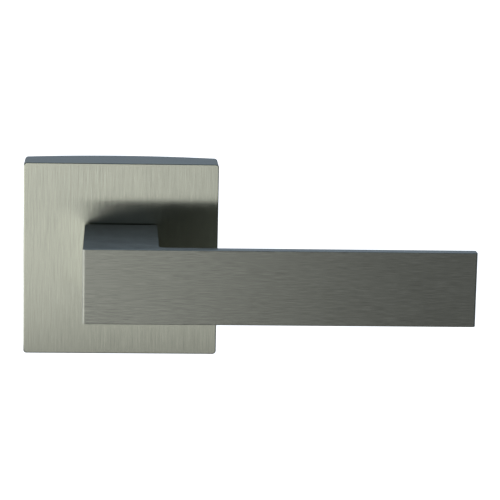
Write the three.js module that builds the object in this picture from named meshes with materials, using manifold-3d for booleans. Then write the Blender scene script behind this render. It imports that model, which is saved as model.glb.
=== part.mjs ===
// Lever handle lockset, outside half: a square rose with a sprung lever, its spindle and its fixings.
//
// Millimetres. The origin is where the spindle's axis crosses the face of the door.
// +X runs along the lever, +Y goes into the door and +Z is up, so what stands off the door has a negative Y.
// Angles in the plane of the door are measured from +X towards +Z.

import * as THREE from "three";
import { mergeVertices } from "three/addons/utils/BufferGeometryUtils.js";
import Module from "manifold-3d";

const wasm = await Module();
wasm.setup();

// ---------------------------------------------------------------- driving dimensions

const ROSE_SIDE = 65; // a 2 9/16 in rose, which covers the 54 mm cross bore of the door
const ROSE_DEPTH = 13.5;
const ROSE_SHEET = 1.5;
const ROSE_EDGE = 0.35; // rounding of the edge round the front face
const ROSE_CORNER = 1.1;
const ROSE_BOW = 0.6; // how far each drawn side stands out at the middle of its open edge
const ROSE_HOLE = 11.2;

const LEVER_SECTION = 24.2; // the neck is square, and the grip is as high as the neck
const LEVER_REACH = 59.5; // door face to the front of the grip
const LEVER_TIP = 113.2; // spindle axis to the end of the grip
const GRIP_THICKNESS = 4.2;
const LEVER_EDGE = 0.3;
const LEVER_CORNER = 0.9;
const NECK_FILLET = 2;
const NECK_GAP = 1.6; // between the neck and the rose

const FIT = 0.15; // radial clearance between round pieces
const GAP = 0.3; // clearance between pieces that lie face to face

const SHANK_FRONT = 8.5; // radius where the shank turns in the bush
const SHANK_REAR = 7.5; // radius where it carries the driver cam
const SHANK_FLAT = 6.5; // half the width over the two flats that drive the cam
const SHANK_END = 4.6;
const GROOVE_RADIUS = 6.8;
const GROOVE_FROM = 2.1;
const GROOVE_TO = 3.3;

const SPINDLE_SIDE = 7.9;
const SPINDLE_INNER = -38;
const SPINDLE_OUTER = 70;

const PLATE_SIDE = 61.2;
const PLATE_CORNER = 2;
const PLATE_DEPTH = ROSE_DEPTH - ROSE_SHEET - 0.4;
const PLATE_WEB = 2.4;
const PLATE_RIM = 2.2;
const PLATE_COLLAR = 10.9;
const COLLAR_FRONT = 0.5 - ROSE_DEPTH;
const DRUM_RADIUS = 24.6;
const BOSS_RADIUS = 4.4;
const RIB_THICKNESS = 2;
const RIB_BACK = -1;

const BUSH_RADIUS = 9.9;
const BUSH_FLANGE = 10.7;

const POCKET_RADIUS = 14.8; // the ring-shaped pocket that holds the cam's lobes and the springs
const POCKET_INNER = 10;
const POCKET_FROM = -8.4;
const POCKET_TO = -1.6;
const LAND_START = 8.5; // degrees below the horizontal
const LAND_END = 34;

const TURN_LIMIT = 45;
const DRIVE_LOBE = 9; // half angle of the lobe that presses the springs
const STOP_PLAY = 1; // degrees between the stop lobe and a land at the end of the turn
const STOP_LOBE = 90 - TURN_LIMIT - LAND_END - STOP_PLAY; // half angle of the lobe that meets the lands

const SPRING_PATH = 12.4;
const SPRING_COIL = 1.75;
const SPRING_WIRE = 0.9;
const SPRING_TURNS = 7.5;
const SPRING_REST = 2.5 - LAND_START; // where the wire of the right spring's first coil lies, off the land
const SPRING_TOP = DRIVE_LOBE + 3; // where the wire of its last coil lies, from 12 o'clock

const COVER_PLATE_RADIUS = 23.2;
const COVER_PLATE_FROM = -1.35;
const COVER_PLATE_TO = -0.15;
const COVER_SCREW_CIRCLE = 19.5;
const COVER_SCREW_RADIUS = 1.5;

const POST_OFFSET = 19; // half of the 38 mm between the through fixings
const POST_STUD = 3;
const POST_RADIUS = 3.5;
const POST_HEXAGON = 5.2;
const POST_END = 30;
const MACHINE_SCREW_RADIUS = 2;
const MACHINE_SCREW_TIP = 16;
const MACHINE_SCREW_SEAT = 56; // where its head bears on the other side's plate
const WOOD_SCREW_OFFSET = 23.8;
const WOOD_SCREW_RADIUS = 1.85;
const WOOD_SCREW_HEAD = 3.75;
const ROSE_SCREW_RADIUS = 2;
const ROSE_SCREW_DEPTH = -ROSE_DEPTH / 2;
const LEVER_SCREW_RADIUS = 3;
const LEVER_SCREW_DEPTH = -25;

const DOOR_BORE = 27; // radius of the cross bore
const BORE_RING_FRONT = -3.7;
const BORE_RING_BACK = 5;
const ROUND = 36; // facets of a large round piece
const SMALL_ROUND = 16;

// ---------------------------------------------------------------- solids

/** A closed geometry as a solid that can be joined and cut. */
function solid(geometry) {
  const flat = geometry.index ? geometry.toNonIndexed() : geometry;
  const bare = new THREE.BufferGeometry().setAttribute("position", flat.getAttribute("position"));
  const merged = mergeVertices(bare, 1e-4);
  const vertProperties = merged.attributes.position.array;
  const triVerts = new Uint32Array(merged.index.array);
  return new wasm.Manifold(new wasm.Mesh({ numProp: 3, vertProperties, triVerts }));
}

function geometryOf(made) {
  const mesh = made.getMesh();
  const geometry = new THREE.BufferGeometry();
  geometry.setAttribute("position", new THREE.BufferAttribute(mesh.vertProperties, 3));
  geometry.setIndex(new THREE.BufferAttribute(mesh.triVerts, 1));
  const faceted = geometry.toNonIndexed();
  faceted.computeVertexNormals();
  return faceted;
}

const join = (...pieces) => pieces.reduce((all, piece) => all.add(piece));
const cut = (body, ...tools) => tools.reduce((left, tool) => left.subtract(tool), body);

/** A body turned about Y from its half outline, [radius, depth] points in counter-clockwise order. */
function turned(outline, facets = ROUND) {
  const closed = outline[0][0] > 0 ? [...outline, outline[0]] : outline;
  const points = closed.map(([radius, depth]) => new THREE.Vector2(radius, depth));
  return solid(new THREE.LatheGeometry(points, facets));
}

function rod(from, to, radius, facets = ROUND) {
  return turned([[0, from], [radius, from], [radius, to], [0, to]], facets);
}

function ring(from, to, inner, outer, facets = ROUND) {
  return turned([[inner, from], [outer, from], [outer, to], [inner, to]], facets);
}

function block([x0, x1], [y0, y1], [z0, z1]) {
  const box = new THREE.BoxGeometry(x1 - x0, y1 - y0, z1 - z0);
  return solid(box.translate((x0 + x1) / 2, (y0 + y1) / 2, (z0 + z1) / 2));
}

/** The outline of a piece in the plane of the door, extruded along Y between two depths. */
function plate(shape, from, to, options = {}) {
  const bevel = options.bevelThickness ?? 0;
  const settings = { bevelEnabled: bevel > 0, curveSegments: 3, ...options, depth: to - from - 2 * bevel };
  return new THREE.ExtrudeGeometry(shape, settings).rotateX(Math.PI / 2).translate(0, to - bevel, 0);
}

const radians = THREE.MathUtils.degToRad;

function onCircle(radius, degrees) {
  const angle = radians(degrees);
  return [radius * Math.cos(angle), radius * Math.sin(angle)];
}

/** A right-angled outline from its corners, each [x, y, radius], listed counter-clockwise. */
function roundedOutline(corners) {
  const shape = new THREE.Shape();
  corners.forEach(([x, y, radius], i) => {
    const corner = new THREE.Vector2(x, y);
    const toward = (j) => {
      const [nx, ny] = corners[(j + corners.length) % corners.length];
      return new THREE.Vector2(nx, ny).sub(corner).normalize().multiplyScalar(radius);
    };
    const before = toward(i - 1);
    const after = toward(i + 1);
    const centre = corner.clone().add(before).add(after);
    const inner = before.cross(after) > 0;
    const start = after.clone().negate().angle();
    const end = before.clone().negate().angle();
    shape.absarc(centre.x, centre.y, radius, start, end, inner);
  });
  return shape;
}

function roundedSquare(side, radius) {
  const half = side / 2;
  return roundedOutline([
    [-half, -half, radius],
    [half, -half, radius],
    [half, half, radius],
    [-half, half, radius],
  ]);
}

function sector(inner, outer, fromDegrees, toDegrees) {
  const [from, to] = [radians(fromDegrees), radians(toDegrees)];
  return new THREE.Shape().absarc(0, 0, outer, from, to, false).absarc(0, 0, inner, to, from, true);
}

/** A drill along Z, for the grub screws. */
function upwardDrill(radius, from, to) {
  return rod(from, to, radius, SMALL_ROUND).rotate([90, 0, 0]);
}

/** A cross-shaped driver recess between two depths. */
function crossRecess(from, to, reach, width) {
  const long = block([-reach, reach], [from, to], [-width / 2, width / 2]);
  return join(long, long.rotate([0, 90, 0]));
}

// ---------------------------------------------------------------- where the fasteners stand

const SIDES = [
  ["left", -1],
  ["right", 1],
];
const COVER_SCREWS = [45, 135, 225, 315].map((degrees) => onCircle(COVER_SCREW_CIRCLE, degrees));
const WOOD_SCREWS = [
  ["upper", [-WOOD_SCREW_OFFSET, 0, WOOD_SCREW_OFFSET]],
  ["lower", [WOOD_SCREW_OFFSET, 0, -WOOD_SCREW_OFFSET]],
];

// ---------------------------------------------------------------- the rose, which stays on the door

/** Pushes the four sides outwards, most at the middle of the open edge and not at all at the front. */
function bowSides(geometry, side) {
  const position = geometry.getAttribute("position");
  const half = side / 2;
  const crown = (along) => 1 - Math.min(1, Math.abs(along) / (half - ROSE_CORNER)) ** 2;
  for (let i = 0; i < position.count; i++) {
    const [x, y, z] = [position.getX(i), position.getY(i), position.getZ(i)];
    const open = THREE.MathUtils.clamp(1 + y / (ROSE_DEPTH - ROSE_EDGE), 0, 1) * ROSE_BOW;
    if (Math.abs(x) > half - ROSE_EDGE) position.setX(i, x + Math.sign(x) * open * crown(z));
    if (Math.abs(z) > half - ROSE_EDGE) position.setZ(i, z + Math.sign(z) * open * crown(x));
  }
  return geometry;
}

/** A rounded square whose straight sides are divided, so that they can be bowed. */
function dividedSquare(side, radius, divisions = 6) {
  const corners = roundedSquare(side, radius).getPoints(3);
  const points = corners.flatMap((point, i) => {
    const next = corners[(i + 1) % corners.length];
    const steps = point.distanceTo(next) > side / 2 ? divisions : 1;
    return Array.from({ length: steps }, (_, k) => point.clone().lerp(next, k / steps));
  });
  return new THREE.Shape(points);
}

/** A drawn sheet cover: five walls of one thickness, open towards the door. */
function roseCover() {
  const outside = plate(dividedSquare(ROSE_SIDE, ROSE_CORNER), -ROSE_DEPTH, ROSE_EDGE, {
    bevelThickness: ROSE_EDGE,
    bevelSize: ROSE_EDGE,
    bevelOffset: -ROSE_EDGE,
    bevelSegments: 2,
    steps: 2,
  });
  const innerSide = ROSE_SIDE - 2 * ROSE_SHEET;
  const inside = plate(dividedSquare(innerSide, ROSE_CORNER), ROSE_SHEET - ROSE_DEPTH, 1, { steps: 2 });
  const behindDoorFace = block([-ROSE_SIDE, ROSE_SIDE], [0, 2], [-ROSE_SIDE, ROSE_SIDE]);
  const screwHole = upwardDrill(ROSE_SCREW_RADIUS + GAP, -ROSE_SIDE / 2 - 2, -ROSE_SIDE / 2 + 2);
  return cut(
    solid(bowSides(outside, ROSE_SIDE)),
    solid(bowSides(inside, innerSide)),
    behindDoorFace,
    rod(-ROSE_DEPTH - 1, -ROSE_SHEET, ROSE_HOLE),
    screwHole.translate([0, ROSE_SCREW_DEPTH, 0]),
  );
}

/** The pan of the mounting plate with its ribs, bosses, drum and collar, before anything is bored. */
function plateCasting() {
  const pan = solid(plate(roundedSquare(PLATE_SIDE, PLATE_CORNER), -PLATE_DEPTH, 0));
  const panInside = roundedSquare(PLATE_SIDE - 2 * PLATE_RIM, PLATE_CORNER / 2);
  const hollow = solid(plate(panInside, PLATE_WEB - PLATE_DEPTH, 1));
  const root = PLATE_WEB - PLATE_DEPTH - 0.2; // ribs and bosses start a little inside the web
  const reach = PLATE_SIDE / 2 - PLATE_RIM / 2;

  const thickness = [-RIB_THICKNESS / 2, RIB_THICKNESS / 2];
  const straightRib = block([-reach, reach], [root, RIB_BACK], thickness);
  const crossRib = block([-1.4 * WOOD_SCREW_OFFSET, 1.4 * WOOD_SCREW_OFFSET], [root, RIB_BACK], thickness);
  const ribs = [
    straightRib,
    straightRib.rotate([0, 90, 0]),
    crossRib.rotate([0, 45, 0]),
    crossRib.rotate([0, -45, 0]),
  ];
  const boss = rod(root, 0, BOSS_RADIUS, SMALL_ROUND);
  const bosses = [-1, 1].flatMap((sx) =>
    [-1, 1].map((sz) => boss.translate([sx * WOOD_SCREW_OFFSET, 0, sz * WOOD_SCREW_OFFSET])),
  );
  const screwBlock = block([-4, 4], [root, -2.6], [-reach, -DRUM_RADIUS]);
  const collar = rod(COLLAR_FRONT, -PLATE_DEPTH + 1, PLATE_COLLAR);
  const drum = rod(root, 0, DRUM_RADIUS);
  return join(pan.subtract(hollow), ...ribs, ...bosses, screwBlock, collar, drum);
}

/** The pocket for the cam and the springs. A land is left standing on each side for a spring to rest on. */
function springPocket() {
  const land = (start, end) => {
    const outline = sector(POCKET_INNER, POCKET_RADIUS + 1, start, end);
    return solid(plate(outline, POCKET_FROM - 1, POCKET_TO + 1));
  };
  return cut(
    rod(POCKET_FROM, POCKET_TO + 0.1, POCKET_RADIUS),
    land(-LAND_END, -LAND_START),
    land(180 + LAND_START, 180 + LAND_END),
  );
}

function mountingPlate() {
  const countersink = [
    [0, -PLATE_DEPTH - 1],
    [WOOD_SCREW_HEAD + GAP, -PLATE_DEPTH - 1],
    [WOOD_SCREW_HEAD + GAP, -PLATE_DEPTH],
    [WOOD_SCREW_RADIUS + GAP, -9.2],
    [WOOD_SCREW_RADIUS + GAP, 1],
    [0, 1],
  ];
  const woodScrewHole = turned(countersink, SMALL_ROUND);
  const postHole = rod(-9, 1, POST_STUD + FIT, SMALL_ROUND);
  const coverScrewHole = rod(-8, 1, COVER_SCREW_RADIUS + FIT, SMALL_ROUND);
  const setScrewHole = upwardDrill(ROSE_SCREW_RADIUS + 0.2, -PLATE_SIDE / 2 - 1, -DRUM_RADIUS - 1);
  return cut(
    plateCasting(),
    rod(-ROSE_DEPTH, POCKET_FROM + 0.5, BUSH_RADIUS + FIT),
    springPocket(),
    rod(POCKET_TO, 1, COVER_PLATE_RADIUS + GAP),
    ring(BORE_RING_FRONT - GAP, 1, DRUM_RADIUS, DOOR_BORE + 0.1),
    ...SIDES.map(([, side]) => postHole.translate([side * POST_OFFSET, 0, 0])),
    ...WOOD_SCREWS.map(([, position]) => woodScrewHole.translate(position)),
    ...COVER_SCREWS.map(([x, z]) => coverScrewHole.translate([x, 0, z])),
    setScrewHole.translate([0, ROSE_SCREW_DEPTH, 0]),
  );
}

/** The nylon bush, whose flange stands between the collar and the neck of the lever. */
function bearingBush() {
  const bore = SHANK_FRONT + FIT;
  const flangeFront = GAP - ROSE_DEPTH - NECK_GAP;
  const flangeBack = COLLAR_FRONT - 0.25;
  return turned([
    [bore, flangeFront],
    [BUSH_FLANGE, flangeFront],
    [BUSH_FLANGE, flangeBack],
    [BUSH_RADIUS, flangeBack],
    [BUSH_RADIUS, POCKET_FROM - GAP],
    [bore, POCKET_FROM - GAP],
  ]);
}

function springCoverPlate() {
  const [from, to] = [COVER_PLATE_FROM - 1, COVER_PLATE_TO + 1];
  const postHole = rod(from, to, POST_STUD + FIT, SMALL_ROUND);
  const screwHole = rod(from, to, COVER_SCREW_RADIUS + 0.2, SMALL_ROUND);
  const window = (start, end) => solid(plate(sector(11.1, 13.9, start, end), from, to));
  return cut(
    ring(COVER_PLATE_FROM, COVER_PLATE_TO, SHANK_REAR + FIT, COVER_PLATE_RADIUS),
    ...SIDES.map(([, side]) => postHole.translate([side * POST_OFFSET, 0, 0])),
    ...COVER_SCREWS.map(([x, z]) => screwHole.translate([x, 0, z])),
    window(18, 74),
    window(106, 162),
  );
}

/** A spring's centreline: a helix whose own axis is an arc round the spindle. */
class ArcSpringCurve extends THREE.Curve {
  constructor(fromDegrees, toDegrees) {
    super();
    this.from = radians(fromDegrees);
    this.sweep = radians(toDegrees - fromDegrees);
  }
  getPoint(t, target = new THREE.Vector3()) {
    const turn = 2 * Math.PI * SPRING_TURNS * t;
    const radius = SPRING_PATH + SPRING_COIL * Math.cos(turn);
    const depth = (POCKET_FROM + POCKET_TO) / 2 + SPRING_COIL * Math.sin(turn);
    const along = this.from + this.sweep * t;
    return target.set(radius * Math.cos(along), depth, radius * Math.sin(along));
  }
}

function returnSpring(fromDegrees, toDegrees) {
  const wire = new THREE.Shape().absarc(0, 0, SPRING_WIRE / 2, 0, 2 * Math.PI, false);
  const extrudePath = new ArcSpringCurve(fromDegrees, toDegrees);
  const steps = Math.round(SPRING_TURNS * 10);
  return new THREE.ExtrudeGeometry(wire, { extrudePath, steps, curveSegments: 3, bevelEnabled: false });
}

/** The locating ring that centres the rose in the door's cross bore, with four snap slots. */
function boreRing() {
  const whole = ring(BORE_RING_FRONT, BORE_RING_BACK, DRUM_RADIUS + GAP, DOOR_BORE - GAP);
  const slot = block([-1.5, 1.5], [1.5, BORE_RING_BACK + 1], [-DOOR_BORE, DOOR_BORE]);
  return cut(whole, slot.rotate([0, 45, 0]), slot.rotate([0, -45, 0]));
}

/** A threaded sleeve with a hexagonal collar, a stud for the plate and a bore for a machine screw. */
function throughPost() {
  const outline = [
    [0, -8.6],
    [POST_STUD, -8.6],
    [POST_STUD, 1],
    [POST_RADIUS, 1],
    [POST_RADIUS, POST_END],
    [MACHINE_SCREW_RADIUS + 0.2, POST_END],
    [MACHINE_SCREW_RADIUS + 0.2, MACHINE_SCREW_TIP - 4],
    [0, MACHINE_SCREW_TIP - 4],
  ];
  return join(turned(outline, SMALL_ROUND), rod(0.75, 3.75, POST_HEXAGON, 6));
}

function postWasher() {
  return ring(0.15, 0.6, POST_STUD + 0.2, 4.9, SMALL_ROUND);
}

function machineScrew() {
  const outline = [
    [0, MACHINE_SCREW_TIP],
    [MACHINE_SCREW_RADIUS, MACHINE_SCREW_TIP],
    [MACHINE_SCREW_RADIUS, MACHINE_SCREW_SEAT],
    [4, MACHINE_SCREW_SEAT],
    [3.8, MACHINE_SCREW_SEAT + 0.8],
    [2.8, MACHINE_SCREW_SEAT + 1.7],
    [1.4, MACHINE_SCREW_SEAT + 2.2],
    [0, MACHINE_SCREW_SEAT + 2.3],
  ];
  const recess = crossRecess(MACHINE_SCREW_SEAT + 1, MACHINE_SCREW_SEAT + 3, 1.8, 0.7);
  return cut(turned(outline, SMALL_ROUND), recess);
}

function woodScrew() {
  const front = -11.4;
  const outline = [
    [0, front],
    [WOOD_SCREW_HEAD, front],
    [WOOD_SCREW_RADIUS, front + 2.1],
    [WOOD_SCREW_RADIUS, 8],
    [0.2, 13],
    [0, 13],
  ];
  return cut(turned(outline, SMALL_ROUND), crossRecess(front - 1, front + 1, 1.9, 0.7));
}

function coverPlateScrew() {
  const outline = [
    [0, -7.4],
    [COVER_SCREW_RADIUS, -7.4],
    [COVER_SCREW_RADIUS, 0],
    [2.7, 0],
    [2.2, 1],
    [1.3, 1.4],
    [0, 1.5],
  ];
  return cut(turned(outline, SMALL_ROUND), crossRecess(0.7, 2, 1.2, 0.5));
}

/** A headless screw that stands along Z, with a hexagon socket below and a cup point above. */
function grubScrew(radius, length, socket) {
  const outline = [
    [0, 0],
    [radius, 0],
    [radius, length - radius / 3],
    [radius * 0.6, length],
    [0, length - radius / 5],
  ];
  return cut(turned(outline, SMALL_ROUND), rod(-1, length * 0.45, socket, 6)).rotate([90, 0, 0]);
}

// ---------------------------------------------------------------- the lever and what turns with it

/** The neck and the grip in one, without the shank. */
function leverCasting() {
  const half = LEVER_SECTION / 2;
  const neckBack = -ROSE_DEPTH - NECK_GAP;
  const gripBack = GRIP_THICKNESS - LEVER_REACH;
  const outline = roundedOutline([
    [-half, -LEVER_REACH, LEVER_CORNER],
    [LEVER_TIP, -LEVER_REACH, LEVER_CORNER],
    [LEVER_TIP, gripBack, LEVER_CORNER],
    [half, gripBack, NECK_FILLET],
    [half, neckBack, LEVER_CORNER],
    [-half, neckBack, LEVER_CORNER],
  ]);
  const casting = new THREE.ExtrudeGeometry(outline, {
    depth: LEVER_SECTION - 2 * LEVER_EDGE,
    bevelThickness: LEVER_EDGE,
    bevelSize: LEVER_EDGE,
    bevelOffset: -LEVER_EDGE,
    bevelSegments: 2,
    curveSegments: 2,
  });
  return solid(casting.translate(0, 0, LEVER_EDGE - half));
}

/** The shank: round where it runs in the bush, and flattened behind that, where the cam sits on it. */
function leverShank() {
  const flats = block([-SHANK_FLAT, SHANK_FLAT], [-20, 20], [-20, 20]);
  const rear = turned([
    [0, POCKET_FROM - 0.5],
    [SHANK_REAR, POCKET_FROM - 0.5],
    [SHANK_REAR, SHANK_END - 0.4],
    [SHANK_REAR - 0.4, SHANK_END],
    [0, SHANK_END],
  ]);
  return join(rod(-ROSE_DEPTH - NECK_GAP - 1, POCKET_FROM, SHANK_FRONT), rear.intersect(flats));
}

function lever() {
  const socketHalf = SPINDLE_SIDE / 2 + FIT;
  const across = [-socketHalf, socketHalf];
  const socket = block(across, [SPINDLE_INNER - 1, SHANK_END + 1], across);
  const screwHole = upwardDrill(LEVER_SCREW_RADIUS + 0.2, -LEVER_SECTION / 2 - 1, 0);
  return cut(
    join(leverCasting(), leverShank()),
    ring(GROOVE_FROM, GROOVE_TO, GROOVE_RADIUS, SHANK_FRONT),
    socket,
    screwHole.translate([0, LEVER_SCREW_DEPTH, 0]),
  );
}

function spindle() {
  return plate(roundedSquare(SPINDLE_SIDE, 0.9), SPINDLE_INNER, SPINDLE_OUTER, {
    bevelThickness: 0.8,
    bevelSize: 0.8,
    bevelOffset: -0.8,
    bevelSegments: 1,
    curveSegments: 1,
  });
}

/** The cam. Its upper lobe presses one spring or the other, and its lower lobe meets the lands. */
function driverCam() {
  const [from, to, reach] = [POCKET_FROM + GAP, POCKET_TO - GAP, POCKET_RADIUS - GAP];
  const lobe = (middle, half) => {
    const outline = sector(SHANK_REAR + 1, reach, middle - half, middle + half);
    return solid(plate(outline, from, to));
  };
  const flatHalf = SHANK_FLAT + FIT;
  const flats = block([-flatHalf, flatHalf], [-20, 20], [-20, 20]);
  const bore = rod(from - 1, to + 1, SHANK_REAR + FIT).intersect(flats);
  const blank = join(rod(from, to, POCKET_INNER - GAP), lobe(90, DRIVE_LOBE), lobe(270, STOP_LOBE));
  return blank.subtract(bore);
}

function thrustWasher() {
  return ring(0.1, 0.8, SHANK_REAR + 0.25, 10.6);
}

/** A thin ring with three waves, which takes up the play along the shank. */
function waveWasher() {
  const [middle, thickness, height] = [1.42, 0.3, 0.28];
  const outline = [
    [SHANK_REAR + 0.25, middle - thickness / 2],
    [10.2, middle - thickness / 2],
    [10.2, middle + thickness / 2],
    [SHANK_REAR + 0.25, middle + thickness / 2],
  ];
  return turned(outline).warp((point) => {
    point[1] += height * Math.cos(3 * Math.atan2(point[2], point[0]));
  });
}

/** An open ring in the shank's groove, with two pierced ears for the pliers. */
function retainingRing() {
  const [from, to] = [GROOVE_FROM + FIT, GROOVE_TO - FIT];
  const [inner, outer, opening] = [GROOVE_RADIUS + FIT, 9.4, 14];
  const outline = sector(inner, outer, 90 + opening, 450 - opening);
  const band = solid(plate(outline, from, to, { curveSegments: 12 }));
  const earCentres = [-1, 1].map((side) => onCircle(outer - 0.2, 90 + side * (opening + 7)));
  const ears = earCentres.map(([x, z]) => rod(from, to, 1.9, SMALL_ROUND).translate([x, 0, z]));
  const eyes = earCentres.map(([x, z]) => rod(from - 1, to + 1, 0.8, 8).translate([x, 0, z]));
  return cut(join(band, ...ears), rod(from - 1, to + 1, inner, 24), ...eyes);
}

// ---------------------------------------------------------------- materials and assembly

function finish(color, roughness, metalness) {
  return new THREE.MeshStandardMaterial({ color, roughness, metalness });
}

const satinNickel = finish(0xa7a596, 0.35, 1);
const zincCasting = finish(0x9b9c9c, 0.55, 1);
const platedSteel = finish(0xb9bbbd, 0.3, 1);
const springSteel = finish(0x6f7174, 0.35, 1);
const nylon = finish(0xe6e3da, 0.6, 0);
const blackPlastic = finish(0x1f2022, 0.6, 0);

function part(name, shape, material, position = [0, 0, 0]) {
  const geometry = shape.isBufferGeometry ? shape : geometryOf(shape);
  const mesh = new THREE.Mesh(geometry, material);
  mesh.name = name;
  mesh.position.set(...position);
  return mesh;
}

const rose = new THREE.Group();
rose.add(
  part("rose_cover", roseCover(), satinNickel),
  part("mounting_plate", mountingPlate(), zincCasting),
  part("bearing_bush", bearingBush(), nylon),
  part("spring_cover_plate", springCoverPlate(), platedSteel),
  part("return_spring_right", returnSpring(SPRING_REST, 90 - SPRING_TOP), springSteel),
  part("return_spring_left", returnSpring(180 - SPRING_REST, 90 + SPRING_TOP), springSteel),
  part("bore_ring", boreRing(), blackPlastic),
);
const roseScrewPlace = [0, ROSE_SCREW_DEPTH, 0.4 - ROSE_SIDE / 2];
rose.add(part("rose_set_screw", grubScrew(ROSE_SCREW_RADIUS, 6, 1.15), platedSteel, roseScrewPlace));
COVER_SCREWS.forEach(([x, z], i) => {
  const position = [x, COVER_PLATE_TO + FIT, z];
  rose.add(part(`cover_plate_screw_${i + 1}`, coverPlateScrew(), platedSteel, position));
});
SIDES.forEach(([name, side]) => {
  const position = [side * POST_OFFSET, 0, 0];
  rose.add(
    part(`through_post_${name}`, throughPost(), platedSteel, position),
    part(`post_washer_${name}`, postWasher(), platedSteel, position),
    part(`machine_screw_${name}`, machineScrew(), platedSteel, position),
  );
});
WOOD_SCREWS.forEach(([name, position]) => {
  rose.add(part(`wood_screw_${name}`, woodScrew(), platedSteel, position));
});

const turning = new THREE.Group();
const leverScrewPlace = [0, LEVER_SCREW_DEPTH, 0.7 - LEVER_SECTION / 2];
turning.add(
  part("lever", lever(), satinNickel),
  part("lever_set_screw", grubScrew(LEVER_SCREW_RADIUS, 7, 1.75), platedSteel, leverScrewPlace),
  part("spindle", spindle(), platedSteel),
  part("driver_cam", driverCam(), zincCasting),
  part("thrust_washer", thrustWasher(), platedSteel),
  part("wave_washer", waveWasher(), springSteel),
  part("retaining_ring", retainingRing(), springSteel),
);

const lockset = new THREE.Group();
lockset.add(rose, turning);

export default lockset;
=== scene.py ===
"""The looks of the lever handle lockset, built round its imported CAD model. Metres, in the CAD frame."""

import math

import bmesh
import bpy
from mathutils import Matrix, Vector


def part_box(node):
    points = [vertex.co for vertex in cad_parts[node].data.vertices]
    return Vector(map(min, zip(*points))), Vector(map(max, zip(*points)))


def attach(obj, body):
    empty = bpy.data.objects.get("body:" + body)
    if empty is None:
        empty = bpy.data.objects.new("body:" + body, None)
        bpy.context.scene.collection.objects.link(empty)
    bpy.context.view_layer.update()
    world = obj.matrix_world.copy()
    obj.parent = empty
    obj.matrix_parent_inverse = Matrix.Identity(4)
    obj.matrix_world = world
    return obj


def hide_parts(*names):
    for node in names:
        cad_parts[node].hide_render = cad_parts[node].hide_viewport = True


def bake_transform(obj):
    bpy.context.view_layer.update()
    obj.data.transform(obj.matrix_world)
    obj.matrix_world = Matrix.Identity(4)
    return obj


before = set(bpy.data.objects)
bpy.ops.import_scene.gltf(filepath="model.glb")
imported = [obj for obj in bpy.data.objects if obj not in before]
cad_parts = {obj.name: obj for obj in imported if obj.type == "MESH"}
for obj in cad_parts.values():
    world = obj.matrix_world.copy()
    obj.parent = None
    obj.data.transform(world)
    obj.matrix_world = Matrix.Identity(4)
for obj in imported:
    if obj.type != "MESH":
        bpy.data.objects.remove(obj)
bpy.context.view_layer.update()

MM = 0.001
SHARP_ANGLE = math.radians(35)  # smooth shading stops at creases sharper than this
BEVEL_ANGLE = math.radians(40)  # small bevels go on creases sharper than this


# ---- meshes


def mesh_object(name, points, faces):
    """A new mesh object in the scene, with its normals facing out."""
    mesh = bpy.data.meshes.new(name)
    mesh.from_pydata([tuple(p) for p in points], [], faces)
    shape = bmesh.new()
    shape.from_mesh(mesh)
    bmesh.ops.recalc_face_normals(shape, faces=shape.faces)
    shape.to_mesh(mesh)
    shape.free()
    thing = bpy.data.objects.new(name, mesh)
    bpy.context.scene.collection.objects.link(thing)
    return thing


def skin(name, rings, closed=False):
    """A surface over rings of equally many points. Open stacks are capped, closed ones join end to start."""
    count = len(rings[0])
    points = [p for ring in rings for p in ring]
    faces = []
    for k in range(len(rings) if closed else len(rings) - 1):
        here, there = k * count, (k + 1) % len(rings) * count
        for i in range(count):
            j = (i + 1) % count
            faces.append((here + i, here + j, there + j, there + i))
    if not closed:
        faces.append(tuple(reversed(range(count))))
        faces.append(tuple(range(len(points) - count, len(points))))
    return mesh_object(name, points, faces)


def combine(thing, operation, *tools):
    """Joins or cuts a piece with others, which are used up."""
    for tool in tools:
        modifier = thing.modifiers.new(operation.lower(), "BOOLEAN")
        modifier.operation = operation
        modifier.solver = "EXACT"
        modifier.object = tool
        apply_modifiers(thing)
        bpy.data.objects.remove(tool)
    return thing


def apply_modifiers(thing):
    """Replaces a piece's mesh by what its modifiers make of it."""
    graph = bpy.context.evaluated_depsgraph_get()
    made = bpy.data.meshes.new_from_object(thing.evaluated_get(graph))
    thing.modifiers.clear()
    thing.data = made


def smooth(thing):
    """Smooth shading that keeps flat faces flat and creases sharp."""
    for face in thing.data.polygons:
        face.use_smooth = True
    thing.data.set_sharp_from_angle(angle=SHARP_ANGLE)
    modifier = thing.modifiers.new("face normals", "WEIGHTED_NORMAL")
    modifier.keep_sharp = True
    modifier.weight = 100
    return thing


def box(x, y, z):
    """A block between two values on each axis."""
    corners = [(a, b, c) for a in x for b in y for c in z]
    faces = [(0, 1, 3, 2), (4, 6, 7, 5), (0, 4, 5, 1), (2, 3, 7, 6), (0, 2, 6, 4), (1, 5, 7, 3)]
    return mesh_object("box", corners, faces)


def rod(radius, start, end, segments=96):
    """A cylinder along the Y axis between two depths."""
    return turned("rod", [(radius, start), (radius, end)], segments)


def turned(name, outline, segments=96):
    """A solid turned about the Y axis from (radius, depth) points, capped at both ends."""
    rings = []
    for radius, depth in outline:
        turns = [2 * math.pi * i / segments for i in range(segments)]
        rings.append([(radius * math.cos(a), depth, radius * math.sin(a)) for a in turns])
    return skin(name, rings)


def arc(centre, radius, start, end, steps):
    """Points on an arc, with their outward directions, from one angle to another in degrees."""
    made = []
    for k in range(steps + 1):
        a = math.radians(start + (end - start) * k / steps)
        ray = Vector((math.cos(a), math.sin(a)))
        made.append((Vector(centre) + ray * radius, ray))
    return made


def revolved(name, profile, segments=96, wave=None):
    """A ring about the Y axis from a closed (radius, depth) profile. wave moves it along Y by angle."""
    rings = []
    for i in range(segments):
        a = 2 * math.pi * i / segments
        shift = wave(a) if wave else 0
        rings.append([(r * math.cos(a), d + shift, r * math.sin(a)) for r, d in profile])
    return skin(name, rings, closed=True)


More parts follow.
